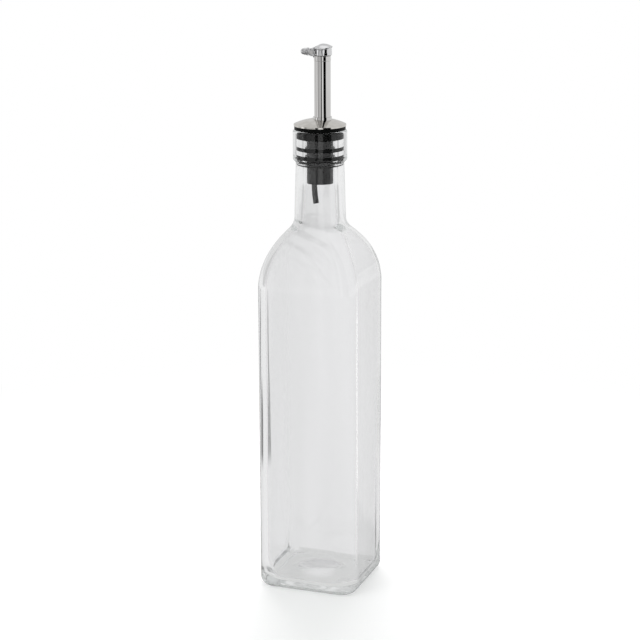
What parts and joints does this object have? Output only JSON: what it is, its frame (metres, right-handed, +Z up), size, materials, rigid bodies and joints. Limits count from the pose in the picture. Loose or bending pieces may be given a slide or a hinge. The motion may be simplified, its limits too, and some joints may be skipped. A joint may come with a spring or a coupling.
{
  "type": "glass oil bottle",
  "caption": "Square glass oil bottle with a ribbed rubber stopper and a steel spout whose mouth is closed by a hinged flap with a tail.",
  "frame": {"origin": "centre of the standing ring, on the surface that the bottle stands on", "axes": "+Z up the bottle, -Y the front face, pouring lip towards +X, flap tail towards -X"},
  "size_m": [0.058, 0.058, 0.3077],
  "materials": {
    "clear_glass": "clear soda-lime glass, faintly green in thick parts",
    "black_rubber": "satin moulded black rubber",
    "satin_steel": "spun satin stainless steel",
    "polished_steel": "polished stainless steel",
    "cast_chrome": "polished cast metal",
    "black_plastic": "semi-matt black plastic tube"
  },
  "bodies": {
    "bottle": {"glass_bottle": "clear_glass"},
    "pourer": {"stopper": "black_rubber", "cover_disc": "satin_steel", "spout_tube": "polished_steel", "air_tube": "black_plastic", "hinge_band": "polished_steel", "hinge_pin": "polished_steel"},
    "flap": {"flap_cap": "cast_chrome", "flap_tail": "cast_chrome"}
  },
  "joints": [
    {"name": "pourer_pull", "type": "slide", "parent": "bottle", "child": "pourer", "axis": [0, 0, 1], "range_m": [0, 0.045]},
    {"name": "flap_hinge", "type": "hinge", "parent": "pourer", "child": "flap", "pos_m": [-0.0039, 0, 0.30314], "axis": [0, -1, 0], "range_deg": [0, 55]}
  ]
}
